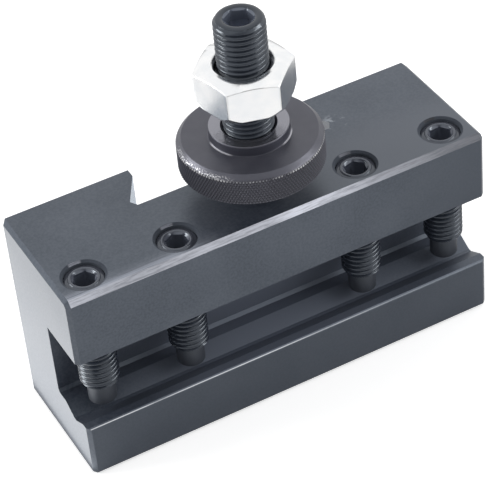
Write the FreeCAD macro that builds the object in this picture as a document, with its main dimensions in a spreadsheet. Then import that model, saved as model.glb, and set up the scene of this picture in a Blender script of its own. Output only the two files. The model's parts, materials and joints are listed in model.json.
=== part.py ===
import FreeCAD, Part
import os
import re
import Sketcher

# Quick change tool holder: a steel block that drops over the dovetail of a lathe tool post.
# X runs along the block, Y from the tool slot (front, -Y) to the dovetail (back, +Y), Z is up.
# The origin is the middle of the block's underside.

SIZES = {
    # Block
    "block_length": 88.9,
    "block_depth": 29.0,
    "block_height": 43.8,
    "corner_chamfer": 0.8,
    "top_front_chamfer": 1.05,
    # Tool slot, open to the front and to both ends
    "slot_floor": 12.3,
    "slot_ceiling": 28.8,
    "slot_depth": 12.9,
    "slot_root_relief": 0.6,
    "lip_chamfer": 0.4,
    # V groove in the slot floor, for round bars
    "groove_width": 7.6,
    "groove_flat": 0.8,
    "groove_depth": 1.8,
    # Dovetail recess in the back
    "dovetail_depth": 10.55,
    "dovetail_mouth": 35.5,
    "dovetail_nose": 2.1,
    "dovetail_angle": 60.0,
    "dovetail_relief": 1.8,
    # Row of clamp screws above the slot
    "clamp_line": 5.9,
    "clamp_end_inset": 6.25,
    "clamp_key_room": 5.3,
    "clamp_mouth": 8.7,
    "clamp_sink": 0.5,
    "clamp_tip_gap": 1.2,
    "clamp_thread": 7.8,
    "clamp_point": 5.5,
    "clamp_point_length": 5.3,
    "clamp_end_chamfer": 0.6,
    "clamp_key": 4.0,
    "clamp_key_depth": 4.5,
    # Height stud
    "stud_line": 10.6,
    "stud_thread": 9.7,
    "stud_length": 50.0,
    "stud_standout": 38.95,
    "stud_end_chamfer": 0.6,
    "stud_key": 5.0,
    "stud_key_depth": 6.0,
    # Knurled thumb nut on the stud
    "thumb_lift": 6.75,
    "thumb_diameter": 27.8,
    "thumb_thickness": 6.5,
    "thumb_top_chamfer": 1.1,
    "thumb_under_chamfer": 0.5,
    "knurl_teeth": 54,
    "knurl_depth": 0.5,
    "knurl_slant": 30.0,
    "knurl_overlap": 1.25,
    "hub_diameter": 15.3,
    "hub_height": 2.1,
    "hub_chamfer": 0.25,
    # Hexagon lock nut above it
    "lock_gap": 6.35,
    "lock_flats": 16.8,
    "lock_thickness": 7.6,
    "lock_chamfer_angle": 30.0,
    "lock_turn": -16.5,
    # Clearances and allowances
    "thread_clearance": 0.05,
    "drill_angle": 118.0,
    "nut_mouth": 11.5,
    "cut_overrun": 1.0,
}

DOCUMENT = FreeCAD.newDocument("ToolHolder")


def make_sheet():
    sheet = DOCUMENT.addObject("Spreadsheet::Sheet", "Sizes")
    for row, (alias, value) in enumerate(SIZES.items(), start=1):
        sheet.set("A%d" % row, alias)
        sheet.set("B%d" % row, str(value))
        sheet.setAlias("B%d" % row, alias)
    DOCUMENT.recompute()


def sized(text):
    """Write plain alias names in an expression as cells of the sheet."""
    return re.sub(r"[a-z_]+", lambda found: "Sizes." + found[0] if found[0] in SIZES else found[0], text)


def bind(thing, prop, text):
    thing.setExpression(prop, sized(text))


def new_body(name):
    body = DOCUMENT.addObject("PartDesign::Body", name)
    body.Label = name
    return body


def place(body, across="0", along="0", up="0", turn="0"):
    bind(body, "Placement.Base.x", across)
    bind(body, "Placement.Base.y", along)
    bind(body, "Placement.Base.z", up)
    bind(body, "Placement.Rotation.Yaw", turn)


def new_sketch(body, name, role, lift="0"):
    plane = next(item for item in body.Origin.OriginFeatures if item.Role == role)
    sketch = body.newObject("Sketcher::SketchObject", name)
    sketch.AttachmentSupport = [(plane, "")]
    sketch.MapMode = "FlatFace"
    bind(sketch, "AttachmentOffset.Base.z", lift)
    return sketch


def pin(sketch, kind, line, end, text):
    value = float(sketch.evalExpression(sized(text)))
    index = sketch.addConstraint(Sketcher.Constraint(kind, -1, 1, line, end, value))
    bind(sketch, "Constraints[%d]" % index, text)


def draw_outline(sketch, corners):
    """Close straight lines through corners, each a pair of expressions."""
    spots = []
    for across, up in corners:
        here = [float(sketch.evalExpression(sized(text))) for text in (across, up)]
        spots.append(FreeCAD.Vector(here[0], here[1], 0))
    count = len(spots)
    for line in range(count):
        sketch.addGeometry(Part.LineSegment(spots[line], spots[(line + 1) % count]))
    for line in range(count):
        sketch.addConstraint(Sketcher.Constraint("Coincident", line, 2, (line + 1) % count, 1))
    for line, (across, up) in enumerate(corners):
        pin(sketch, "DistanceX", line, 1, across)
        pin(sketch, "DistanceY", line, 1, up)


def draw_circles(sketch, centres, diameter):
    for across, along in centres:
        spot = [float(sketch.evalExpression(sized(text))) for text in (across, along)]
        radius = float(sketch.evalExpression(sized(diameter))) / 2
        circle = Part.Circle(FreeCAD.Vector(spot[0], spot[1], 0), FreeCAD.Vector(0, 0, 1), radius)
        line = sketch.addGeometry(circle)
        index = sketch.addConstraint(Sketcher.Constraint("Diameter", line, 2 * radius))
        bind(sketch, "Constraints[%d]" % index, diameter)
        pin(sketch, "DistanceX", line, 3, across)
        pin(sketch, "DistanceY", line, 3, along)


def hexagon(flats):
    """Corners of a hexagon about the origin, with two corners on the X axis."""
    corner = "%s / sqrt(3)" % flats
    half = "%s / sqrt(12)" % flats
    side = "%s / 2" % flats
    return [
        (corner, "0"),
        (half, side),
        ("-1 * " + half, side),
        ("-1 * " + corner, "0"),
        ("-1 * " + half, "-1 * " + side),
        (half, "-1 * " + side),
    ]


def cut_pocket(body, name, sketch, depth, reverse=False):
    before = body.Shape.Volume
    pocket = body.newObject("PartDesign::Pocket", name)
    pocket.Profile = sketch
    pocket.Reversed = reverse
    bind(pocket, "Length", depth)
    DOCUMENT.recompute()
    if body.Shape.Volume >= before:
        raise RuntimeError(name + " removed nothing")
    return pocket


def turn_profile(body, kind, name, corners):
    """Turn an outline of radius and height round the body's own Z axis."""
    sketch = new_sketch(body, name + "Profile", "XZ_Plane")
    draw_outline(sketch, corners)
    feature = body.newObject(kind, name)
    feature.Profile = sketch
    feature.ReferenceAxis = (sketch, ["V_Axis"])
    feature.Angle = 360
    DOCUMENT.recompute()
    return feature


def chamfer_edges(body, name, wanted, size):
    """Chamfer the edges of the body's tip that wanted() picks by their two end points."""
    base = body.Tip
    names = []
    for number, edge in enumerate(base.Shape.Edges, start=1):
        if len(edge.Vertexes) == 2 and wanted(edge.Vertexes[0].Point, edge.Vertexes[1].Point):
            names.append("Edge%d" % number)
    chamfer = body.newObject("PartDesign::Chamfer", name)
    chamfer.Base = (base, names)
    bind(chamfer, "Size", size)
    DOCUMENT.recompute()
    return chamfer


def clamp_centres():
    """Screw axes from left to right: the inner two leave room for a key beside the thumb nut."""
    along = "clamp_line - block_depth / 2"
    outer = "(block_length / 2 - clamp_end_inset)"
    inner = "(thumb_diameter / 2 + clamp_key_room)"
    return [(across, along) for across in ("-1 * " + outer, "-1 * " + inner, inner, outer)]


def make_holder_body():
    """The block: C-shaped profile along X, dovetail from below, tapped holes from above."""
    body = new_body("holder_body")
    front = "-1 * block_depth / 2"
    back = "block_depth / 2"
    wall = "slot_depth - block_depth / 2"
    groove = "clamp_line - block_depth / 2"
    profile = new_sketch(body, "BlockProfile", "YZ_Plane")
    draw_outline(profile, [
        (front, "0"),
        (back, "0"),
        (back, "block_height"),
        (front + " + top_front_chamfer", "block_height"),
        (front, "block_height - top_front_chamfer"),
        (front, "slot_ceiling"),
        (wall, "slot_ceiling"),
        (wall, "slot_floor + slot_root_relief"),
        (wall + " - slot_root_relief", "slot_floor"),
        (groove + " + groove_width / 2", "slot_floor"),
        (groove + " + groove_flat / 2", "slot_floor - groove_depth"),
        (groove + " - groove_flat / 2", "slot_floor - groove_depth"),
        (groove + " - groove_width / 2", "slot_floor"),
        (front + " + lip_chamfer", "slot_floor"),
        (front, "slot_floor - lip_chamfer"),
    ])
    block = body.newObject("PartDesign::Pad", "Block")
    block.Profile = profile
    block.SideType = "Symmetric"
    bind(block, "Length", "block_length")
    DOCUMENT.recompute()

    run = "(dovetail_depth - dovetail_nose) / tan(dovetail_angle)"
    root = "block_depth / 2 - dovetail_depth"
    half_mouth = "dovetail_mouth / 2"
    root_corner = half_mouth + " + " + run
    half_outline = [
        (half_mouth, "block_depth / 2 + cut_overrun"),
        (half_mouth, "block_depth / 2 - dovetail_nose"),
        (root_corner + " - dovetail_relief * cos(dovetail_angle)",
         root + " + dovetail_relief * sin(dovetail_angle)"),
        (root_corner + " - dovetail_relief", root),
    ]
    mirrored = [("-1 * (%s)" % across, along) for across, along in reversed(half_outline)]
    recess = new_sketch(body, "DovetailOutline", "XY_Plane")
    draw_outline(recess, half_outline + mirrored)
    cut_pocket(body, "Dovetail", recess, "block_height", reverse=True)

    chamfer_block(body)
    drill(body, "ClampHoles", clamp_centres(), "clamp_thread + 2 * thread_clearance",
          "block_height - slot_ceiling + cut_overrun", "clamp_mouth")
    drill(body, "StudHole", [("0", "stud_line - block_depth / 2")],
          "stud_thread + 2 * thread_clearance", "stud_length - stud_standout", None)
    return body


def chamfer_block(body):
    """Break the outline of both ends and the long front edge of the foot."""
    half_length = SIZES["block_length"] / 2
    half_depth = SIZES["block_depth"] / 2
    top = SIZES["block_height"]

    def near(value, target):
        return abs(value - target) < 0.001

    def wanted(start, end):
        middle = (start + end) / 2
        at_end = near(abs(middle.x), half_length)
        on_box = near(middle.z, 0) or near(middle.z, top) or near(abs(middle.y), half_depth)
        on_slant = near(middle.y + half_depth + top - middle.z, SIZES["top_front_chamfer"])
        at_foot = near(middle.z, 0) and near(middle.y, -half_depth)
        return at_end and (on_box or on_slant) or at_foot

    chamfer_edges(body, "Edges", wanted, "corner_chamfer")


def drill(body, name, centres, diameter, depth, mouth):
    """Drill round holes down from the top face, countersunk if mouth names a diameter."""
    sketch = new_sketch(body, name + "Centres", "XY_Plane", "block_height")
    draw_circles(sketch, centres, diameter)
    DOCUMENT.recompute()
    before = body.Shape.Volume
    hole = body.newObject("PartDesign::Hole", name)
    hole.Profile = sketch
    DOCUMENT.recompute()
    hole.ThreadType = "None"
    hole.DepthType = "Dimension"
    bind(hole, "Depth", depth)
    bind(hole, "Diameter", diameter)
    if mouth:
        hole.DrillPoint = "Flat"
        hole.HoleCutType = "Countersink"
        hole.HoleCutCustomValues = True
        bind(hole, "HoleCutDiameter", mouth)
    else:
        hole.DrillPoint = "Angled"
        bind(hole, "DrillPointAngle", "drill_angle")
    DOCUMENT.recompute()
    if body.Shape.Volume >= before:
        raise RuntimeError(name + " removed nothing")


def cut_key(body, flats, depth, height):
    sketch = new_sketch(body, "KeyOutline", "XY_Plane", height)
    draw_outline(sketch, hexagon(flats))
    cut_pocket(body, "Key", sketch, depth)


def make_clamp_screw(number, across, along):
    """Socket set screw with a long plain point, its own origin at the tip of the point."""
    body = new_body("clamp_screw_%d" % number)
    length = "block_height - clamp_sink - slot_floor - clamp_tip_gap"
    crown = "clamp_thread / 2 - clamp_end_chamfer"
    turn_profile(body, "PartDesign::Revolution", "Screw", [
        ("0", "0"),
        ("clamp_point / 2 - clamp_end_chamfer / 2", "0"),
        ("clamp_point / 2", "clamp_end_chamfer / 2"),
        ("clamp_point / 2", "clamp_point_length - clamp_thread / 2 + clamp_point / 2"),
        ("clamp_thread / 2", "clamp_point_length"),
        ("clamp_thread / 2", length + " - clamp_end_chamfer"),
        (crown, length),
        ("0", length),
    ])
    cut_key(body, "clamp_key", "clamp_key_depth", length)
    place(body, across, along, "slot_floor + clamp_tip_gap")
    return body


def make_height_stud():
    """Threaded stud screwed to the bottom of its hole, with a key socket in the top."""
    body = new_body("height_stud")
    crown = "stud_thread / 2 - stud_end_chamfer"
    turn_profile(body, "PartDesign::Revolution", "Stud", [
        ("0", "0"),
        (crown, "0"),
        ("stud_thread / 2", "stud_end_chamfer"),
        ("stud_thread / 2", "stud_length - stud_end_chamfer"),
        (crown, "stud_length"),
        ("0", "stud_length"),
    ])
    cut_key(body, "stud_key", "stud_key_depth", "stud_length")
    place(body, "0", "stud_line - block_depth / 2", "block_height + stud_standout - stud_length")
    return body


def make_knurled_nut():
    """Thumb nut turned as one piece: a knurled flange under a plain hub."""
    body = new_body("knurled_nut")
    bore = "stud_thread / 2 + thread_clearance"
    rim = "thumb_diameter / 2"
    turn_profile(body, "PartDesign::Revolution", "Thumb", [
        (bore, "0"),
        (rim + " - thumb_under_chamfer", "0"),
        (rim, "thumb_under_chamfer"),
        (rim, "thumb_thickness - thumb_top_chamfer"),
        (rim + " - thumb_top_chamfer", "thumb_thickness"),
        ("hub_diameter / 2", "thumb_thickness"),
        ("hub_diameter / 2", "thumb_thickness + hub_height - hub_chamfer"),
        ("hub_diameter / 2 - hub_chamfer", "thumb_thickness + hub_height"),
        ("nut_mouth / 2", "thumb_thickness + hub_height"),
        (bore, "thumb_thickness + hub_height - nut_mouth / 2 + " + bore),
    ])
    cut_knurl(body, "RightKnurl", "1")
    cut_knurl(body, "LeftKnurl", "-1")
    place(body, "0", "stud_line - block_depth / 2", "block_height + thumb_lift")
    return body


def cut_knurl(body, name, hand):
    """Ring of V grooves slanted across the rim; two crossing rings leave pointed diamonds."""
    before = body.Shape.Volume
    rim = "thumb_diameter / 2"
    foot = "-1 * %s * thumb_thickness * tan(knurl_slant) / 2" % hand
    half_width = "knurl_overlap * pi * thumb_diameter / knurl_teeth"
    sketch = new_sketch(body, name + "Notch", "XY_Plane")
    draw_outline(sketch, [
        (rim + " - knurl_depth", foot),
        (rim + " + knurl_depth", "%s - %s" % (foot, half_width)),
        (rim + " + knurl_depth", "%s + %s" % (foot, half_width)),
    ])
    notch = body.newObject("PartDesign::Pocket", name + "Cut")
    notch.Profile = sketch
    notch.UseCustomVector = True
    notch.Direction = FreeCAD.Vector(0, float(hand), 1)
    bind(notch, "Direction.y", hand + " * tan(knurl_slant)")
    bind(notch, "Length", "thumb_thickness")
    DOCUMENT.recompute()
    ring = body.newObject("PartDesign::PolarPattern", name)
    ring.Originals = [notch]
    ring.Axis = (sketch, ["N_Axis"])
    ring.Angle = 360
    bind(ring, "Occurrences", "knurl_teeth")
    body.Tip = ring
    DOCUMENT.recompute()
    if body.Shape.Volume >= before:
        raise RuntimeError(name + " removed nothing")


def make_lock_nut():
    """Hexagon nut with both faces turned to a cone at the corners."""
    body = new_body("lock_nut")
    sketch = new_sketch(body, "Hexagon", "XY_Plane")
    draw_outline(sketch, hexagon("lock_flats"))
    blank = body.newObject("PartDesign::Pad", "Blank")
    blank.Profile = sketch
    bind(blank, "Length", "lock_thickness")
    DOCUMENT.recompute()
    inner = "lock_flats / 2"
    outer = "lock_flats / sqrt(3) + cut_overrun"
    drop = "(lock_flats / sqrt(3) + cut_overrun - lock_flats / 2) * tan(lock_chamfer_angle)"
    over = "lock_thickness + cut_overrun"
    bore = "stud_thread / 2 + thread_clearance"
    mouth_drop = "nut_mouth / 2 - stud_thread / 2 - thread_clearance"
    turn_profile(body, "PartDesign::Groove", "TopCone", [
        (inner, "lock_thickness"),
        (outer, "lock_thickness - " + drop),
        (outer, over),
        (inner, over),
    ])
    turn_profile(body, "PartDesign::Groove", "FootCone", [
        (inner, "0"),
        (outer, drop),
        (outer, "-1 * cut_overrun"),
        (inner, "-1 * cut_overrun"),
    ])
    turn_profile(body, "PartDesign::Groove", "Bore", [
        ("0", "-1 * cut_overrun"),
        ("nut_mouth / 2", "-1 * cut_overrun"),
        ("nut_mouth / 2", "0"),
        (bore, mouth_drop),
        (bore, "lock_thickness - (%s)" % mouth_drop),
        ("nut_mouth / 2", "lock_thickness"),
        ("nut_mouth / 2", over),
        ("0", over),
    ])
    place(body, "0", "stud_line - block_depth / 2",
          "block_height + thumb_lift + thumb_thickness + hub_height + lock_gap", "lock_turn")
    return body


def check_and_write(bodies):
    DOCUMENT.recompute()
    for item in DOCUMENT.Objects:
        if "Invalid" in item.State or "Error" in item.State:
            raise RuntimeError("%s failed: %s" % (item.Name, item.State))
    os.makedirs("parts", exist_ok=True)
    for body in bodies:
        shape = body.Shape
        if shape.isNull() or not shape.isValid() or len(shape.Solids) != 1:
            raise RuntimeError(body.Label + " is not one valid solid")
        shape.exportStep("parts/%s.step" % body.Label)
        print("%-16s %9.1f mm3" % (body.Label, shape.Volume))


make_sheet()
BODIES = [make_holder_body()]
for screw_number, (screw_x, screw_y) in enumerate(clamp_centres(), start=1):
    BODIES.append(make_clamp_screw(screw_number, screw_x, screw_y))
BODIES += [make_height_stud(), make_knurled_nut(), make_lock_nut()]
check_and_write(BODIES)
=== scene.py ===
import json
import math

import bmesh
import bpy
import numpy as np
from mathutils import Matrix, Vector

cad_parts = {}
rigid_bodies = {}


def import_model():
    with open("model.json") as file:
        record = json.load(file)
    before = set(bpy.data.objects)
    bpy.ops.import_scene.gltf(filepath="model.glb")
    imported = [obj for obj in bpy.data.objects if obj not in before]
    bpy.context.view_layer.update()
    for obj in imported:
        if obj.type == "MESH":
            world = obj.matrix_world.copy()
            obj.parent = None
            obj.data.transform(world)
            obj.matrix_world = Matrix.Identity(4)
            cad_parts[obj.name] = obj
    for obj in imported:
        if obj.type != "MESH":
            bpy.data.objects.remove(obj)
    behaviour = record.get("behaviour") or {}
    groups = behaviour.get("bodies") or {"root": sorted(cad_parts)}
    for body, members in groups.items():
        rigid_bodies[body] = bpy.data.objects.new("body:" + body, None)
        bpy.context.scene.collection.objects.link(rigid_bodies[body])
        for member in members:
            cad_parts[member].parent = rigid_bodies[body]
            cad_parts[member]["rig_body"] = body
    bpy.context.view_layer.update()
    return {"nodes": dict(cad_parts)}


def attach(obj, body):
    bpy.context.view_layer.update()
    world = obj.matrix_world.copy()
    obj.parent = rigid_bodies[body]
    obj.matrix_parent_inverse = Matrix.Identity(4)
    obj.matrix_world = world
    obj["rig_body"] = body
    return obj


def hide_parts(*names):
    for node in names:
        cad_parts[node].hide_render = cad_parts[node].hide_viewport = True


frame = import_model()

MM = 0.001

# Places and sizes that repeat the CAD part's, in metres.
SCREW_LINE = -8.6 * MM
SCREW_PLACES = [-38.2 * MM, -19.2 * MM, 19.2 * MM, 38.2 * MM]
SCREW_FOOT = 13.5 * MM
SCREW_LENGTH = 29.8 * MM
STUD_LINE = -3.9 * MM
STUD_FOOT = 32.75 * MM
STUD_LENGTH = 50.0 * MM
THUMB_FOOT = 50.55 * MM
LOCK_FOOT = 65.5 * MM
BLOCK_TOP = 43.8 * MM
BLOCK_FRONT = -14.5 * MM
SLOT_FLOOR = 12.3 * MM
SLOT_CEILING = 28.8 * MM
SLOT_WALL = -1.6 * MM
BLOCK_END = 44.45 * MM
SCREW_MOUTH = 4.35 * MM
THUMB_RIM = 13.9 * MM
THUMB_THICKNESS = 6.5 * MM
HUB_RADIUS = 7.65 * MM
HUB_TOP = 8.6 * MM

MERGE_DISTANCE = 2e-7
SLIVER_LENGTH = 1e-7
# Edges of a threaded piece that bend by more degrees than this stay sharp.
THREAD_SHARP = 32.0

THREAD_PITCH = 1.1 * MM
# One turn of the thread as (height, depth) in pitches, from the crest down to the root and up again.
THREAD_PROFILE = [
    (0.0, 0.0),
    (0.1, 0.018),
    (0.193, 0.07),
    (0.26, 0.15),
    (0.475, 0.522),
    (0.5, 0.54),
    (0.525, 0.522),
    (0.74, 0.15),
    (0.807, 0.07),
    (0.9, 0.018),
]


def circle_angles(count, turn=0.0):
    return turn + np.arange(count) * 2 * math.pi / count


def hexagon_radius(angles, flats, turn):
    """Distance from the middle to a hexagon's side at each angle, with a corner at turn."""
    sector = math.pi / 3
    off = (angles - turn) % sector - sector / 2
    return flats / 2 / np.cos(off)


class Shell:
    """Points and faces of one piece, gathered from grids of closed loops round the Z axis."""

    def __init__(self, angles):
        self.angles = angles
        self.points = []
        self.faces = []
        self.count = 0

    def add_points(self, radii, heights):
        across = radii * np.cos(self.angles)
        along = radii * np.sin(self.angles)
        grid = np.stack([across, along, heights], axis=-1)
        self.points.append(grid.reshape(-1, 3))
        first = self.count
        self.count += grid.shape[0] * grid.shape[1]
        return first

    def loops(self, rows):
        """Join rows one above the other. A row is (radius, height), each a number or one value per angle."""
        columns = len(self.angles)
        radii = np.array([np.broadcast_to(radius, columns) for radius, _ in rows])
        heights = np.array([np.broadcast_to(height, columns) for _, height in rows])
        first = self.add_points(radii, heights)
        for row in range(len(rows) - 1):
            low = first + row * columns
            for column in range(columns):
                after = (column + 1) % columns
                self.faces.append((low + column, low + after, low + columns + after, low + columns + column))

    def thread(self, radius, low, high):
        """A right-hand thread between two heights, each (height, radius, slope) of the cone that ends it."""
        columns = len(self.angles)
        steps = len(THREAD_PROFILE)
        turns = math.ceil((high[0] - low[0]) / THREAD_PITCH) + 2
        shares = np.arange(columns) / columns
        radii = []
        heights = []
        for turn in range(turns):
            for rise, depth in THREAD_PROFILE:
                height = low[0] + THREAD_PITCH * (turn + rise - 1 + shares)
                height = np.clip(height, low[0], high[0])
                foot_cone = low[1] + (height - low[0]) * low[2]
                head_cone = high[1] + (high[0] - height) * high[2]
                crest = np.full(columns, radius - depth * THREAD_PITCH)
                radii.append(np.minimum(crest, np.minimum(foot_cone, head_cone)))
                heights.append(height)
        first = self.add_points(np.array(radii), np.array(heights))
        total = len(radii)
        for row in range(total - 1):
            low_row = first + row * columns
            for column in range(columns - 1):
                here = low_row + column
                self.faces.append((here, here + 1, here + columns + 1, here + columns))
            if row + steps + 1 < total:
                last = low_row + columns - 1
                start = low_row + steps * columns
                self.faces.append((last, start, start + columns, last + columns))

    def piece(self, name, sharp_degrees, place, node, material):
        """Make the object, ride it on the node's body and let it stand for the node."""
        mesh = bpy.data.meshes.new(name)
        mesh.from_pydata(np.concatenate(self.points).tolist(), [], self.faces)
        form = bmesh.new()
        form.from_mesh(mesh)
        bmesh.ops.remove_doubles(form, verts=form.verts, dist=MERGE_DISTANCE)
        bmesh.ops.dissolve_degenerate(form, edges=form.edges, dist=SLIVER_LENGTH)
        bmesh.ops.recalc_face_normals(form, faces=form.faces)
        limit = math.radians(sharp_degrees)
        for face in form.faces:
            face.smooth = True
        for edge in form.edges:
            edge.smooth = edge.calc_face_angle(0.0) < limit
        form.to_mesh(mesh)
        form.free()
        made = bpy.data.objects.new(name, mesh)
        made.location = place
        bpy.context.scene.collection.objects.link(made)
        mesh.materials.append(material)
        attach(made, frame["nodes"][node]["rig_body"])
        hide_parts(node)
        return made


def socket_rows(angles, turn, flats, mouth, top, depth):
    """Rows of a hexagon socket from its round mouth down to the drill point."""
    side = hexagon_radius(angles, flats, turn)
    lead = 0.3 * MM
    point = 0.9 * MM
    return [
        (mouth, top),
        (side, top - lead),
        (side, top - depth),
        (side * 0.72, top - depth - point * 0.35),
        (0.0, top - depth - point),
    ]


def rounded_lip(outer, inner, top, fall):
    """Rows of a crown ring that is rounded over from its outer edge to the mouth of its socket."""
    width = outer - inner
    return [
        (outer, top - fall),
        (outer - width * 0.12, top - fall * 0.45),
        (outer - width * 0.28, top - fall * 0.12),
        (outer - width * 0.45, top),
        (outer - width * 0.6, top),
        (outer - width * 0.78, top - fall * 0.15),
        (outer - width * 0.91, top - fall * 0.55),
        (inner, top - fall),
    ]


def make_clamp_screws(material):
    columns = 72
    crest = 3.9 * MM
    point = 2.75 * MM
    point_length = 5.3 * MM
    root = 3.3 * MM
    collar = 3.84 * MM
    collar_foot = SCREW_LENGTH - 0.85 * MM
    crown = 3.1 * MM
    lip_fall = 0.2 * MM
    mouth = 2.4 * MM
    turns = [2.0, 27.0, 15.0, 4.0]
    for number, across in enumerate(SCREW_PLACES, start=1):
        turn = math.radians(turns[number - 1])
        angles = circle_angles(columns, turn)
        shell = Shell(angles)
        neck = point_length - (crest - point)
        shell.loops([
            (0.0, 0.0),
            (point - 0.34 * MM, 0.0),
            (point - 0.26 * MM, 0.03 * MM),
            (point - 0.05 * MM, 0.24 * MM),
            (point, 0.36 * MM),
            (point, neck),
        ])
        shoulder = SCREW_LENGTH - lip_fall
        shell.thread(crest, (neck, point, 1.0), (collar_foot, root, 1.5))
        shell.loops([
            (root, collar_foot),
            (collar, collar_foot + 0.1 * MM),
            (collar, collar_foot + 0.33 * MM),
            (collar - 0.06 * MM, collar_foot + 0.42 * MM),
            (crown, shoulder),
        ])
        shell.loops(rounded_lip(crown, mouth, SCREW_LENGTH, lip_fall))
        shell.loops(socket_rows(angles, turn, 4.0 * MM, mouth, shoulder, 4.26 * MM))
        place = (across, SCREW_LINE, SCREW_FOOT)
        node = "clamp_screw_%d" % number
        shell.piece(node + "_threaded", THREAD_SHARP, place, node, material)


def make_stud(material):
    columns = 96
    crest = 4.85 * MM
    crown = 4.3 * MM
    crown_drop = 0.7 * MM
    lip_fall = 0.2 * MM
    mouth = 2.95 * MM
    turn = math.radians(-26.0)
    angles = circle_angles(columns, turn)
    shell = Shell(angles)
    shell.loops([(0.0, 0.0), (crown, 0.0)])
    shoulder = STUD_LENGTH - lip_fall
    high = (shoulder, crown, (crest - crown) / crown_drop)
    shell.thread(crest, (0.0, crown, 1.0), high)
    shell.loops(rounded_lip(crown, mouth, STUD_LENGTH, lip_fall))
    shell.loops(socket_rows(angles, turn, 5.0 * MM, mouth, shoulder, 5.8 * MM))
    place = (0.0, STUD_LINE, STUD_FOOT)
    shell.piece("height_stud_threaded", THREAD_SHARP, place, "height_stud", material)


def make_thumb_nut(material):
    """Knurled thumb nut: crossing grooves leave a diamond tooth on each high point of a chequer."""
    teeth = 144
    steps = 6
    rim = THUMB_RIM
    depth = 0.26 * MM
    top = THUMB_THICKNESS
    top_chamfer = 1.1 * MM
    foot_chamfer = 0.5 * MM
    hub = HUB_RADIUS
    hub_top = HUB_TOP
    mouth = 5.3 * MM
    bore = 4.9 * MM
    columns = teeth * steps
    angles = circle_angles(columns)
    tooth = 2 * math.pi * rim / teeth
    tall_tooth = tooth / math.tan(math.radians(30.0))
    shell = Shell(angles)
    bevel = 0.06 * MM
    shell.loops([
        (bore, 0.0),
        (rim - foot_chamfer - depth * 0.5, 0.0),
        (rim - foot_chamfer - depth * 0.3, 0.0),
    ])
    across = np.arange(columns) / steps
    rows_per_tooth = 10
    row_step = tall_tooth / rows_per_tooth
    groove_share = 0.04
    flat_share = 0.86
    foot_slope = 1.3
    rows = []
    for row in range(math.ceil(top / row_step) + 1):
        height = min(row * row_step, top)
        up = height / tall_tooth
        rising = across + up
        falling = across - up
        ridge_a = 1 - np.abs(2 * (rising % 1) - 1)
        ridge_b = 1 - np.abs(2 * (falling % 1) - 1)
        relief = np.clip(np.minimum(ridge_a, ridge_b), groove_share, flat_share) / flat_share
        radius = rim - depth * (1 - relief)
        foot_cone = rim - foot_chamfer - depth * 0.3 + height * foot_slope
        head_cone = rim - top_chamfer + (top - height)
        rows.append((np.minimum(radius, np.minimum(foot_cone, head_cone)), height))
    shell.loops(rows)
    shell.loops([
        (rim - top_chamfer, top),
        (hub + 0.35 * MM, top),
        (hub + 0.25 * MM, top),
        (hub + 0.06 * MM, top + 0.05 * MM),
        (hub, top + 0.2 * MM),
        (hub, top + 0.3 * MM),
        (hub, hub_top - 0.32 * MM),
        (hub, hub_top - 0.22 * MM),
        (hub - 0.04 * MM, hub_top - 0.11 * MM),
        (hub - 0.11 * MM, hub_top - 0.04 * MM),
        (hub - 0.22 * MM, hub_top),
        (hub - 0.3 * MM, hub_top),
        (mouth + bevel * 2, hub_top),
        (mouth + bevel, hub_top),
        (mouth - bevel * 0.5, hub_top - bevel),
        (bore, hub_top - (mouth - bore)),
        (bore, 0.0),
    ])
    shell.piece("knurled_thumb_nut", 38.0, (0.0, STUD_LINE, THUMB_FOOT), "knurled_nut",
                material)


def rounded_hexagon(flats, corner_radius, turn):
    """Angles and radii round a hexagon whose corners are small arcs, with a corner at turn."""
    sector = math.pi / 3
    arc_points = 9
    side_points = 14
    centre = (flats / 2 - corner_radius) / math.cos(sector / 2)
    points = []
    for side in range(6):
        heading = turn + side * sector
        for share in np.linspace(-0.5, 0.5, arc_points):
            lean = heading + share * sector
            points.append((centre * math.cos(heading) + corner_radius * math.cos(lean),
                           centre * math.sin(heading) + corner_radius * math.sin(lean)))
        start = np.array(points[-1])
        heading += sector
        lean = heading - sector / 2
        finish = np.array([centre * math.cos(heading) + corner_radius * math.cos(lean),
                           centre * math.sin(heading) + corner_radius * math.sin(lean)])
        for share in np.linspace(0, 1, side_points)[1:-1]:
            points.append(tuple(start + (finish - start) * share))
    spots = np.array(points)
    return np.arctan2(spots[:, 1], spots[:, 0]), np.hypot(spots[:, 0], spots[:, 1])


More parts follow.
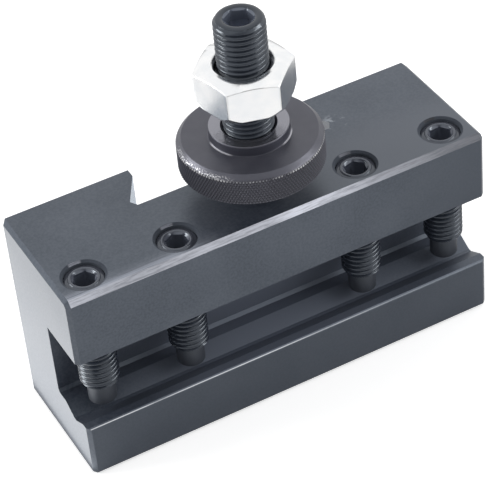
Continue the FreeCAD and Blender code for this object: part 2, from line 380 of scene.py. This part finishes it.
def make_lock_nut(material):
    flats = 16.8 * MM
    thickness = 7.6 * MM
    crown = 6.9 * MM
    crown_slope = math.tan(math.radians(22.0))
    foot_ring = 8.75 * MM
    foot_slope = 1.35
    mouth = 5.75 * MM
    bore = 4.9 * MM
    bevel = 0.14 * MM
    angles, side = rounded_hexagon(flats, 0.7 * MM, math.radians(-16.5))
    shell = Shell(angles)
    drop = (side - crown) * crown_slope
    rise = np.maximum(side - foot_ring, 0.0) * foot_slope
    foot = np.minimum(side, foot_ring)
    shell.loops([
        (bore, mouth - bore),
        (mouth - bevel * 0.5, bevel),
        (mouth + bevel, 0.0),
        (foot - bevel, 0.0),
        (foot - bevel * 0.3, bevel * 0.3),
        (side - bevel * 0.1, rise + bevel * 0.7),
        (side, rise + bevel * 1.5),
        (side, rise + bevel * 2.2),
        (side, thickness - drop - bevel * 1.7),
        (side, thickness - drop - bevel),
        (side - bevel * 0.25, thickness - drop - bevel * 0.35),
        (side - bevel, thickness - drop + bevel * crown_slope),
        (crown + bevel * 2, thickness - bevel * 2 * crown_slope),
        (crown, thickness - bevel * 0.3),
        (crown - bevel * 2, thickness),
        (crown - bevel * 2.6, thickness),
        (mouth + bevel * 1.6, thickness),
        (mouth + bevel, thickness),
        (mouth - bevel * 0.5, thickness - bevel),
        (bore, thickness - (mouth - bore)),
        (bore, mouth - bore),
    ])
    shell.piece("hexagon_lock_nut", 24.0, (0.0, STUD_LINE, LOCK_FOOT), "lock_nut",
                material)


class Finish:
    """A Principled material and short ways to add the nodes of its procedural detail."""

    def __init__(self, name, base, roughness, ior=1.5, metallic=0.0, tint=(1.0, 1.0, 1.0)):
        self.material = bpy.data.materials.new(name)
        self.material.use_nodes = True
        self.tree = self.material.node_tree
        self.shader = self.tree.nodes["Principled BSDF"]
        self.shader.inputs["Base Color"].default_value = (*base, 1.0)
        self.shader.inputs["Roughness"].default_value = roughness
        self.shader.inputs["IOR"].default_value = ior
        self.shader.inputs["Metallic"].default_value = metallic
        self.shader.inputs["Specular Tint"].default_value = (*tint, 1.0)
        self.place = self.tree.nodes.new("ShaderNodeTexCoord").outputs["Object"]

    def feed(self, socket, value):
        if isinstance(value, bpy.types.NodeSocket):
            self.tree.links.new(value, socket)
        else:
            socket.default_value = value

    def math(self, operation, first, second=0.0, third=0.0):
        node = self.tree.nodes.new("ShaderNodeMath")
        node.operation = operation
        for socket, value in zip(node.inputs, (first, second, third)):
            self.feed(socket, value)
        return node.outputs[0]

    def noise(self, scale, detail=4.0, stretch=(1.0, 1.0, 1.0), sharpness=0.5):
        mapping = self.tree.nodes.new("ShaderNodeMapping")
        mapping.inputs["Scale"].default_value = stretch
        self.tree.links.new(self.place, mapping.inputs["Vector"])
        node = self.tree.nodes.new("ShaderNodeTexNoise")
        node.inputs["Scale"].default_value = scale
        node.inputs["Detail"].default_value = detail
        node.inputs["Roughness"].default_value = sharpness
        self.tree.links.new(mapping.outputs[0], node.inputs["Vector"])
        return node.outputs["Fac"]

    def ramp(self, value, low, high, start=0.0, finish=1.0):
        """Spread value from low..high to start..finish with soft ends."""
        node = self.tree.nodes.new("ShaderNodeMapRange")
        node.interpolation_type = "SMOOTHSTEP"
        self.feed(node.inputs["Value"], value)
        node.inputs["From Min"].default_value = low
        node.inputs["From Max"].default_value = high
        node.inputs["To Min"].default_value = start
        node.inputs["To Max"].default_value = finish
        return node.outputs[0]

    def blend(self, share, first, second):
        node = self.tree.nodes.new("ShaderNodeMix")
        node.data_type = "RGBA"
        self.feed(node.inputs["Factor"], share)
        self.feed(node.inputs["A"], (*first, 1.0) if isinstance(first, tuple) else first)
        self.feed(node.inputs["B"], (*second, 1.0) if isinstance(second, tuple) else second)
        return node.outputs["Result"]

    def axes(self):
        node = self.tree.nodes.new("ShaderNodeSeparateXYZ")
        self.tree.links.new(self.place, node.inputs[0])
        return node.outputs[0], node.outputs[1], node.outputs[2]

    def distance(self, first, second):
        first_square = self.math("MULTIPLY", first, first)
        second_square = self.math("MULTIPLY", second, second)
        return self.math("SQRT", self.math("ADD", first_square, second_square))

    def both(self, *masks):
        joined = masks[0]
        for mask in masks[1:]:
            joined = self.math("MULTIPLY", joined, mask)
        return joined

    def curve(self, value, tint, stops):
        """The tint, scaled by a level that is read off a line through stops of (value, level)."""
        low, high = stops[0][0], stops[-1][0]
        share = self.tree.nodes.new("ShaderNodeMapRange")
        self.feed(share.inputs["Value"], value)
        share.inputs["From Min"].default_value = low
        share.inputs["From Max"].default_value = high
        node = self.tree.nodes.new("ShaderNodeValToRGB")
        elements = node.color_ramp.elements
        for _ in stops[2:]:
            elements.new(0.5)
        for element, (spot, level) in zip(elements, stops):
            element.position = (spot - low) / (high - low)
            element.color = (level * tint[0], level * tint[1], level * tint[2], 1.0)
        self.tree.links.new(share.outputs[0], node.inputs["Fac"])
        return node.outputs["Color"]

    def facing(self, direction):
        """How nearly the surface faces a direction of its own object, from -1 to 1."""
        normal = self.tree.nodes.new("ShaderNodeTexCoord").outputs["Normal"]
        node = self.tree.nodes.new("ShaderNodeVectorMath")
        node.operation = "DOT_PRODUCT"
        self.tree.links.new(normal, node.inputs[0])
        node.inputs[1].default_value = direction
        return node.outputs["Value"]

    def toward(self, across, along, direction, low, high):
        """From 0 to 1 as the heading from the Z axis comes near a level direction."""
        reach = self.math("ADD", self.math("MULTIPLY", across, direction[0]),
                          self.math("MULTIPLY", along, direction[1]))
        return self.ramp(self.math("DIVIDE", reach, self.distance(across, along)), low, high)

    def colour(self, value):
        self.feed(self.shader.inputs["Base Color"], value)

    def metal(self, value):
        self.feed(self.shader.inputs["Metallic"], value)

    def rough(self, value):
        self.feed(self.shader.inputs["Roughness"], value)

    def bump(self, height, distance):
        node = self.tree.nodes.new("ShaderNodeBump")
        node.inputs["Strength"].default_value = 1.0
        node.inputs["Distance"].default_value = distance
        self.feed(node.inputs["Height"], height)
        self.tree.links.new(node.outputs[0], self.shader.inputs["Normal"])


def block_finish():
    """Mottled black oxide, bare on the ground top front edge with a painted highlight along it, with painted
    light in the slot, on the dovetail's bare flanks and on the top's right front, painted shade on the jaw's
    front and in the screw holes' mouths, and painted highlights near the top's left front edge and along the
    jaw's top edge.
    """
    finish = Finish("black_oxide_block", (0.042, 0.048, 0.064), 0.34, ior=1.85, tint=(0.78, 0.88, 1.0))
    across, along, up = finish.axes()
    mottle = finish.noise(90.0, 5.0)
    grain = finish.noise(2600.0, 2.0)
    lines = finish.noise(60.0, 3.0, (1.0, 60.0, 60.0))
    speckle = finish.noise(2000.0, 3.0)
    tone = finish.math("MULTIPLY_ADD", finish.ramp(speckle, 0.35, 0.65), 0.5,
                       finish.math("MULTIPLY", finish.ramp(mottle, 0.3, 0.7), 0.5))
    base = finish.blend(tone, (0.018, 0.023, 0.035), (0.06, 0.068, 0.086))
    base = finish.blend(finish.ramp(grain, 0.45, 0.8, 0.0, 0.5), base, (0.058, 0.065, 0.083))

    sideways = finish.math("ABSOLUTE", finish.facing((1.0, 0.0, 0.0)))
    # Painted light: the slot's walls, floor and ceiling are coloured lighter, fading out to the left end and
    # halved to the right.
    painted_slot_light = finish.both(finish.ramp(along, BLOCK_FRONT + 0.15 * MM, BLOCK_FRONT + 0.3 * MM),
                          finish.ramp(along, SLOT_WALL + 0.1 * MM, SLOT_WALL + 0.2 * MM, 1.0, 0.0),
                          finish.ramp(up, SLOT_FLOOR - 2.6 * MM, SLOT_FLOOR - 2.4 * MM),
                          finish.ramp(up, SLOT_CEILING + 0.1 * MM, SLOT_CEILING + 0.2 * MM, 1.0, 0.0),
                          finish.ramp(sideways, 0.3, 0.6, 1.0, 0.0))
    painted_slot_light = finish.math("MULTIPLY", painted_slot_light, finish.ramp(across, -42.0 * MM, -15.0 * MM, 0.0, 1.0))
    painted_slot_light = finish.math("MULTIPLY", painted_slot_light, finish.ramp(across, 10.0 * MM, 30.0 * MM, 1.0, 0.5))
    base = finish.blend(painted_slot_light, base, (0.08, 0.09, 0.118))

    pair_middle = (SCREW_PLACES[2] + SCREW_PLACES[3]) / 2
    pair_reach = (SCREW_PLACES[3] - SCREW_PLACES[2]) / 2
    near_end = finish.math("SUBTRACT", finish.math("ABSOLUTE", across), pair_middle)
    off_screw = finish.distance(finish.math("SUBTRACT", finish.math("ABSOLUTE", near_end), pair_reach),
                                finish.math("SUBTRACT", along, SCREW_LINE))
    near_top = finish.ramp(up, BLOCK_TOP - 2.4 * MM, BLOCK_TOP - 1.8 * MM)
    flat_top = finish.both(near_top, finish.ramp(finish.facing((0.0, 0.0, 1.0)), 0.9, 0.97))
    # Painted shade: the mouths of the screw holes in the top are darker, and rougher.
    painted_hole_shade = finish.both(near_top,
                       finish.ramp(off_screw, SCREW_MOUTH + 0.01 * MM, SCREW_MOUTH + 0.15 * MM, 1.0, 0.0))
    base = finish.blend(painted_hole_shade, base, (0.035, 0.04, 0.052))
    # Painted light: the flat top is lighter towards its right front.
    painted_top_light = finish.both(flat_top, finish.ramp(across, 0.0, 20.0 * MM, 0.0, 0.9),
                         finish.ramp(along, -6.0 * MM, 6.0 * MM, 1.0, 0.15))
    base = finish.blend(painted_top_light, base, (0.075, 0.08, 0.096))

    # Painted shade: the jaw's front is darker. The ledge's front is also darker towards its right end.
    painted_jaw_shade = finish.both(finish.ramp(along, BLOCK_FRONT + 0.05 * MM, BLOCK_FRONT + 0.1 * MM, 0.6, 0.0),
                            finish.ramp(up, SLOT_FLOOR - 0.45 * MM, SLOT_FLOOR - 0.35 * MM, 1.0, 0.0))
    ledge_end = finish.both(finish.ramp(along, BLOCK_FRONT + 0.05 * MM, BLOCK_FRONT + 0.1 * MM, 0.7, 0.0),
                            finish.ramp(up, SLOT_CEILING - 0.1 * MM, SLOT_CEILING),
                            finish.ramp(across, 12.0 * MM, 44.0 * MM))
    base = finish.blend(finish.math("MAXIMUM", painted_jaw_shade, ledge_end), base, (0.018, 0.022, 0.033))

    # The dovetail's flanks: bare metal with a pale colour that is painted light.
    right_flank = finish.facing((-math.sqrt(0.75), -0.5, 0.0))
    left_flank = finish.facing((math.sqrt(0.75), -0.5, 0.0))
    bare_and_lit_flank = finish.both(finish.ramp(finish.math("MAXIMUM", right_flank, left_flank), 0.98, 0.995),
                        finish.ramp(along, -2.0 * MM, -1.0 * MM))
    base = finish.blend(bare_and_lit_flank, base, (0.9, 0.91, 0.93))

    # Pale specks on the flat top just right of the dovetail's right corner.
    specks = finish.noise(700.0, 2.0)
    off_pale_specks = finish.distance(finish.math("SUBTRACT", across, 22.6 * MM),
                                finish.math("SUBTRACT", along, 5.2 * MM))
    pale_specks = finish.both(flat_top, finish.ramp(specks, 0.5, 0.62),
                        finish.ramp(off_pale_specks, 1.2 * MM, 3.0 * MM, 1.0, 0.0))
    base = finish.blend(finish.math("MULTIPLY", pale_specks, 0.7), base, (0.3, 0.32, 0.35))

    edge = (0.0, -math.sqrt(0.5), math.sqrt(0.5))
    ground = finish.both(near_top, finish.ramp(finish.facing(edge), 0.97, 0.99))
    streaks = finish.noise(600.0, 4.0, (0.35, 4.0, 4.0), 0.7)
    # Painted highlight: the bare edge's brightness along its length, highest near the middle and fading to
    # the right end.
    shine = finish.curve(across, (0.94, 0.97, 1.08), [
        (-BLOCK_END, 0.54),
        (-30.0 * MM, 0.43),
        (-20.0 * MM, 0.46),
        (-14.0 * MM, 0.5),
        (-5.0 * MM, 0.49),
        (3.7 * MM, 0.64),
        (10.5 * MM, 0.53),
        (17.0 * MM, 0.38),
        (23.5 * MM, 0.27),
        (30.0 * MM, 0.22),
        (36.5 * MM, 0.15),
        (BLOCK_END, 0.11),
    ])
    steel_and_painted_highlight = finish.blend(finish.ramp(streaks, 0.36, 0.6, 0.6, 1.0), (0.05, 0.052, 0.06), shine)
    # Painted highlight: the flat top is lighter and bare along the front edge towards the left end, streaked
    # with scratches.
    scratches = finish.noise(500.0, 4.0, (0.1, 4.0, 1.0), 0.65)
    painted_edge_highlight = finish.both(flat_top,
                       finish.ramp(along, BLOCK_FRONT + 0.3 * MM, BLOCK_FRONT + 4.3 * MM, 1.0, 0.0),
                       finish.ramp(across, -24.0 * MM, -9.0 * MM, 1.0, 0.0),
                       finish.ramp(scratches, 0.36, 0.62, 0.25, 1.0))
    base = finish.blend(painted_edge_highlight, base, (0.37, 0.39, 0.45))
    # The jaw's top edge: a bare bright line with a painted highlight, strongest at the left and fading to
    # the right.
    lip = finish.both(finish.ramp(finish.facing(edge), 0.97, 0.99),
                      finish.ramp(up, SLOT_FLOOR - 0.34 * MM, SLOT_FLOOR - 0.28 * MM),
                      finish.ramp(up, SLOT_FLOOR - 0.22 * MM, SLOT_FLOOR - 0.16 * MM, 1.0, 0.0))
    bare_lip_and_highlight = finish.both(lip, finish.ramp(across, -20.0 * MM, 40.0 * MM, 0.8, 0.1),
                            finish.ramp(finish.noise(300.0, 3.0, (0.4, 1.0, 1.0)), 0.3, 0.6, 0.6, 1.0))
    base = finish.blend(bare_lip_and_highlight, base, (0.85, 0.87, 0.9))
    finish.colour(finish.blend(ground, base, steel_and_painted_highlight))
    bare = finish.math("MAXIMUM", finish.math("MULTIPLY", ground, 0.9), finish.math("MULTIPLY", painted_edge_highlight, 0.7))
    bare = finish.math("MAXIMUM", bare, bare_lip_and_highlight)
    finish.metal(finish.math("MAXIMUM", bare, finish.math("MULTIPLY", bare_and_lit_flank, 0.6)))
    satin = finish.math("MULTIPLY_ADD", mottle, 0.08, 0.29)
    satin = finish.math("MULTIPLY_ADD", grain, 0.06, satin)
    satin = finish.math("MULTIPLY_ADD", painted_slot_light, 0.15, satin)
    left_edge = finish.ramp(finish.facing((-math.sqrt(0.5), 0.0, math.sqrt(0.5))), 0.96, 0.99)
    satin = finish.math("MULTIPLY_ADD", left_edge, 0.35, satin)
    satin = finish.math("MULTIPLY_ADD", painted_hole_shade, 0.6, satin)
    finish.rough(finish.math("MULTIPLY_ADD", bare_and_lit_flank, -0.18, satin))
    finish.bump(finish.math("ADD", grain, lines), 0.000004)
    return finish.material


def screw_finish(name, socket_radius, socket_foot, socket_painted_tone, dull_top, crown_foot, crown_tone):
    """Glossy black oxide, duller in the key socket and below dull_top, with painted light in the socket,
    another tone above crown_foot.
    """
    finish = Finish(name, (0.026, 0.03, 0.042), 0.2, ior=1.68, tint=(0.84, 0.92, 1.0))
    across, along, up = finish.axes()
    mottle = finish.noise(420.0, 4.0)
    grain = finish.noise(3200.0, 2.0)
    base = finish.blend(finish.ramp(mottle, 0.3, 0.7), (0.017, 0.021, 0.031), (0.028, 0.033, 0.045))
    # Painted light: the key socket is lighter, most at its bottom.
    socket_painted_light = finish.both(finish.ramp(finish.distance(across, along), socket_radius - 0.1 * MM, socket_radius,
                                     1.0, 0.0),
                         finish.ramp(up, socket_foot, socket_foot + 0.5 * MM),
                         finish.ramp(up, socket_foot + 0.5 * MM, socket_foot + 5.0 * MM, 1.0, 0.2))
    point = finish.ramp(up, dull_top - 0.3 * MM, dull_top, 1.0, 0.0)
    base = finish.blend(point, base, (0.026, 0.029, 0.038))
    base = finish.blend(finish.ramp(up, crown_foot, crown_foot + 0.1 * MM), base, crown_tone)
    finish.colour(finish.blend(socket_painted_light, base, socket_painted_tone))
    shine = finish.math("MULTIPLY_ADD", mottle, 0.08, 0.13)
    finish.rough(finish.math("MULTIPLY_ADD", finish.math("MAXIMUM", socket_painted_light, point), 0.35, shine))
    finish.bump(grain, 0.000003)
    return finish.material


def knurl_finish():
    """Matte charcoal oxide with painted shade in the knurl's grooves, painted highlights on its crests, the
    rim and the hub's foot, and a bright face on the hub.
    """
    finish = Finish("black_oxide_knurl", (0.038, 0.039, 0.05), 0.36, ior=1.8, tint=(0.86, 0.87, 1.0))
    across, along, up = finish.axes()
    radius = finish.distance(across, along)
    mottle = finish.noise(240.0, 4.0)
    grain = finish.noise(3000.0, 2.0)
    base = finish.blend(finish.ramp(mottle, 0.3, 0.7), (0.034, 0.035, 0.046), (0.05, 0.051, 0.063))
    rim = finish.ramp(up, 5.35 * MM, 5.5 * MM, 1.0, 0.0)
    # Painted shade and highlight: the knurl's grooves are darker and its crests lighter.
    painted_groove_shade = finish.both(rim, finish.ramp(radius, THUMB_RIM - 0.22 * MM, THUMB_RIM - 0.02 * MM, 1.0, 0.0),
                         finish.ramp(radius, THUMB_RIM - 0.6 * MM, THUMB_RIM - 0.5 * MM))
    crest = finish.both(rim, finish.ramp(radius, THUMB_RIM - 0.08 * MM, THUMB_RIM))
    base = finish.blend(crest, base, (0.075, 0.076, 0.09))
    base = finish.blend(painted_groove_shade, base, (0.012, 0.012, 0.018))
    # Painted highlight: the rim's top edge is bright, most at the left and right front.
    left_front = finish.toward(across, along, (-0.97, -0.24), 0.8, 0.95)
    right_front = finish.toward(across, along, (0.31, -0.95), 0.85, 0.97)
    lit = finish.math("MAXIMUM", finish.math("MAXIMUM", left_front, right_front), 0.35)
    edge = finish.both(finish.ramp(up, 5.1 * MM, 5.35 * MM), finish.ramp(up, 5.5 * MM, 5.7 * MM, 1.0, 0.0),
                       finish.ramp(radius, THUMB_RIM - 0.22 * MM, THUMB_RIM - 0.1 * MM),
                       finish.ramp(finish.noise(500.0, 2.0), 0.3, 0.6), lit)
    # Painted highlight: bright specks on the top chamfer at the left front.
    painted_chamfer_glints = finish.both(left_front, finish.ramp(up, 4.9 * MM, 5.4 * MM),
                          finish.ramp(up, 5.7 * MM, 6.3 * MM, 1.0, 0.0),
                          finish.ramp(radius, THUMB_RIM - 0.9 * MM, THUMB_RIM - 0.7 * MM),
                          finish.ramp(finish.noise(3600.0, 2.0), 0.48, 0.66, 0.0, 0.9))
    edge = finish.math("MAXIMUM", edge, painted_chamfer_glints)
    base = finish.blend(edge, base, (0.9, 0.9, 0.92))
    hub = finish.both(finish.ramp(radius, HUB_RADIUS + 0.03 * MM, HUB_RADIUS + 0.1 * MM, 1.0, 0.0),
                      finish.ramp(up, THUMB_THICKNESS + 0.05 * MM, THUMB_THICKNESS + 0.15 * MM))
    face = finish.both(hub, finish.ramp(up, HUB_TOP - 0.06 * MM, HUB_TOP - 0.01 * MM))
    base = finish.blend(hub, base, (0.03, 0.031, 0.042))
    # Painted highlight: bright arcs at the foot of the hub, at its left and right front.
    painted_hub_arcs = finish.both(finish.math("MAXIMUM", finish.toward(across, along, (-0.97, -0.24), 0.9, 0.97),
                                  finish.toward(across, along, (0.68, -0.73), 0.92, 0.98)),
                      finish.ramp(up, THUMB_THICKNESS - 0.03 * MM, THUMB_THICKNESS + 0.01 * MM),
                      finish.ramp(up, THUMB_THICKNESS + 0.12 * MM, THUMB_THICKNESS + 0.22 * MM, 1.0, 0.0),
                      finish.ramp(radius, HUB_RADIUS + 0.25 * MM, HUB_RADIUS + 0.3 * MM, 1.0, 0.0))
    base = finish.blend(painted_hub_arcs, base, (0.5, 0.5, 0.53))
    finish.colour(finish.blend(face, base, (0.3, 0.3, 0.33)))
    bare = finish.math("MAXIMUM", finish.math("MULTIPLY", face, 0.9), finish.math("MULTIPLY", edge, 0.6))
    finish.metal(finish.math("MAXIMUM", bare, finish.math("MULTIPLY", painted_hub_arcs, 0.6)))
    matte = finish.math("MULTIPLY_ADD", mottle, 0.1, 0.3)
    finish.rough(finish.math("MULTIPLY_ADD", face, -0.2, matte))
    rings = finish.math("SINE", finish.math("MULTIPLY", radius, 24000.0))
    slope = finish.both(finish.ramp(radius, THUMB_RIM - 1.15 * MM, THUMB_RIM - 1.0 * MM),
                        finish.ramp(up, 5.3 * MM, 5.5 * MM))
    pits = finish.math("MULTIPLY", finish.noise(1500.0, 3.0), finish.math("MULTIPLY", slope, 9.0))
    finish.bump(finish.math("ADD", pits, finish.math("MULTIPLY_ADD", rings, 0.4, grain)), 0.000003)
    return finish.material


def zinc_finish():
    """Bright zinc plate with a cloudy grain, and painted shade in the mouths of the thread."""
    finish = Finish("bright_zinc", (0.92, 0.93, 0.94), 0.2, metallic=1.0)
    cloud = finish.noise(380.0, 5.0)
    grain = finish.noise(2400.0, 3.0)
    across, along, _ = finish.axes()
    base = finish.blend(finish.ramp(cloud, 0.3, 0.7), (0.89, 0.905, 0.92), (0.97, 0.97, 0.97))
    # Painted shade: the mouth of the thread is dark.
    mouth = finish.ramp(finish.distance(across, along), 5.6 * MM, 5.72 * MM, 1.0, 0.0)
    finish.colour(finish.blend(mouth, base, (0.16, 0.17, 0.19)))
    finish.rough(finish.math("MULTIPLY_ADD", cloud, 0.1, 0.14))
    finish.bump(grain, 0.000004)
    return finish.material


def floor_finish():
    """Pale matte floor, lifted to white for the camera, with the object's own shadow."""
    camera_lift = 0.5
    material = bpy.data.materials.new("pale_floor")
    material.use_nodes = True
    tree = material.node_tree
    shader = tree.nodes["Principled BSDF"]
    shader.inputs["Base Color"].default_value = (0.9, 0.9, 0.9, 1.0)
    shader.inputs["Roughness"].default_value = 0.9
    shader.inputs["Specular IOR Level"].default_value = 0.0
    shader.inputs["Emission Color"].default_value = (1.0, 1.0, 1.0, 1.0)
    path = tree.nodes.new("ShaderNodeLightPath")
    lift = tree.nodes.new("ShaderNodeMath")
    lift.operation = "MULTIPLY"
    lift.inputs[1].default_value = camera_lift
    tree.links.new(path.outputs["Is Camera Ray"], lift.inputs[0])
    tree.links.new(lift.outputs[0], shader.inputs["Emission Strength"])
    return material


def make_floor():
    size = 4.0
    mesh = bpy.data.meshes.new("floor")
    half = size / 2
    mesh.from_pydata([(-half, -half, 0), (half, -half, 0), (half, half, 0), (-half, half, 0)], [],
                     [(0, 1, 2, 3)])
    mesh.materials.append(floor_finish())
    floor = bpy.data.objects.new("floor", mesh)
    bpy.context.scene.collection.objects.link(floor)


def make_world():
    """White studio, dimmer where mirror rays meet the camera's side and in the light on surfaces."""
    light_strength = 0.6
    front_strength = 0.3
    camera_side = (-0.42, -0.907, 0.0)
    world = bpy.data.worlds.new("studio")
    world.use_nodes = True
    bpy.context.scene.world = world
    tree = world.node_tree
    sky = tree.nodes["Background"]
    sky.inputs["Color"].default_value = (1.0, 1.0, 1.0, 1.0)
    path = tree.nodes.new("ShaderNodeLightPath")
    heading = tree.nodes.new("ShaderNodeTexCoord").outputs["Generated"]
    front = tree.nodes.new("ShaderNodeVectorMath")
    front.operation = "DOT_PRODUCT"
    tree.links.new(heading, front.inputs[0])
    front.inputs[1].default_value = camera_side
    shade = tree.nodes.new("ShaderNodeMapRange")
    shade.interpolation_type = "SMOOTHSTEP"
    tree.links.new(front.outputs["Value"], shade.inputs["Value"])
    shade.inputs["From Min"].default_value = 0.5
    shade.inputs["From Max"].default_value = 0.85
    shade.inputs["To Min"].default_value = 1.0 - light_strength
    shade.inputs["To Max"].default_value = front_strength - light_strength
    mirrored = tree.nodes.new("ShaderNodeMath")
    mirrored.operation = "MULTIPLY"
    tree.links.new(path.outputs["Is Glossy Ray"], mirrored.inputs[0])
    tree.links.new(shade.outputs[0], mirrored.inputs[1])
    strength = tree.nodes.new("ShaderNodeMath")
    strength.operation = "ADD"
    strength.inputs[1].default_value = light_strength
    tree.links.new(mirrored.outputs[0], strength.inputs[0])
    seen = tree.nodes.new("ShaderNodeMath")
    seen.operation = "MAXIMUM"
    tree.links.new(path.outputs["Is Camera Ray"], seen.inputs[0])
    tree.links.new(path.outputs["Is Transmission Ray"], seen.inputs[1])
    either = tree.nodes.new("ShaderNodeMath")
    either.operation = "MAXIMUM"
    tree.links.new(strength.outputs[0], either.inputs[0])
    tree.links.new(seen.outputs[0], either.inputs[1])
    tree.links.new(either.outputs[0], sky.inputs["Strength"])


def make_lamp(name, place, target, width, height, radiance):
    """A soft rectangular lamp whose face has the given brightness, where 1 is white."""
    light = bpy.data.lights.new(name, "AREA")
    light.shape = "RECTANGLE"
    light.size = width
    light.size_y = height
    light.energy = radiance * math.pi * width * height
    lamp = bpy.data.objects.new(name, light)
    lamp.location = place
    aim = Vector(target) - Vector(place)
    lamp.rotation_mode = "QUATERNION"
    lamp.rotation_quaternion = aim.to_track_quat("-Z", "Y")
    lamp.visible_camera = False
    bpy.context.scene.collection.objects.link(lamp)


def make_lights():
    """Wide lamps for the edges, and cards on the floor for the left end and the lock nut's front."""
    middle = (0.0, 0.0, 0.05)
    make_lamp("left_lamp", (-0.453, 0.248, 0.24), middle, 0.3, 0.2, 8.0)
    make_lamp("right_lamp", (0.41, -0.29, 0.26), middle, 0.34, 0.16, 6.0)
    make_lamp("left_card", (-0.0577, 0.033, 0.0006), (-0.058, 0.033, 0.03), 0.096, 0.025, 1.85)
    make_lamp("front_card", (0.0, -0.095, 0.0006), (0.0, -0.0953, 0.03), 0.12, 0.06, 0.17)


def make_camera():
    """The photograph's own view, found by fitting the block's edges."""
    azimuth = math.radians(-24.909)
    elevation = math.radians(39.78)
    roll = math.radians(-5.834)
    aim = Vector((0.0, 0.0, 0.021884))
    distance = 0.443175
    slide_right = -0.001908
    slide_up = 0.005018
    back = Vector((math.sin(azimuth) * math.cos(elevation),
                   -math.cos(azimuth) * math.cos(elevation),
                   math.sin(elevation)))
    level = Vector((math.cos(azimuth), math.sin(azimuth), 0.0))
    upright = back.cross(level)
    right = math.cos(roll) * level + math.sin(roll) * upright
    up = math.cos(roll) * upright - math.sin(roll) * level
    place = aim + back * distance + right * slide_right + up * slide_up
    data = bpy.data.cameras.new("camera")
    data.sensor_width = 36.0
    data.lens = 167.09
    data.clip_start = 0.01
    data.clip_end = 10.0
    camera = bpy.data.objects.new("camera", data)
    turn = Matrix((right, up, back)).transposed()
    camera.matrix_world = Matrix.Translation(place) @ turn.to_4x4()
    bpy.context.scene.collection.objects.link(camera)
    bpy.context.scene.camera = camera


bpy.context.scene.view_settings.view_transform = "Standard"
block = frame["nodes"]["holder_body"]
block.data.materials.clear()
block.data.materials.append(block_finish())
make_clamp_screws(screw_finish("black_oxide_screw", socket_radius=2.45 * MM,
                               socket_foot=SCREW_LENGTH - 4.9 * MM, socket_painted_tone=(0.14, 0.155, 0.2),
                               dull_top=4.3 * MM, crown_foot=SCREW_LENGTH - 0.6 * MM,
                               crown_tone=(0.07, 0.075, 0.095)))
make_stud(screw_finish("black_oxide_stud", socket_radius=3.0 * MM,
                       socket_foot=STUD_LENGTH - 6.6 * MM, socket_painted_tone=(0.42, 0.47, 0.6),
                       dull_top=0.0, crown_foot=STUD_LENGTH - 0.3 * MM,
                       crown_tone=(0.012, 0.015, 0.024)))
make_thumb_nut(knurl_finish())
make_lock_nut(zinc_finish())
make_floor()
make_world()
make_lights()
make_camera()
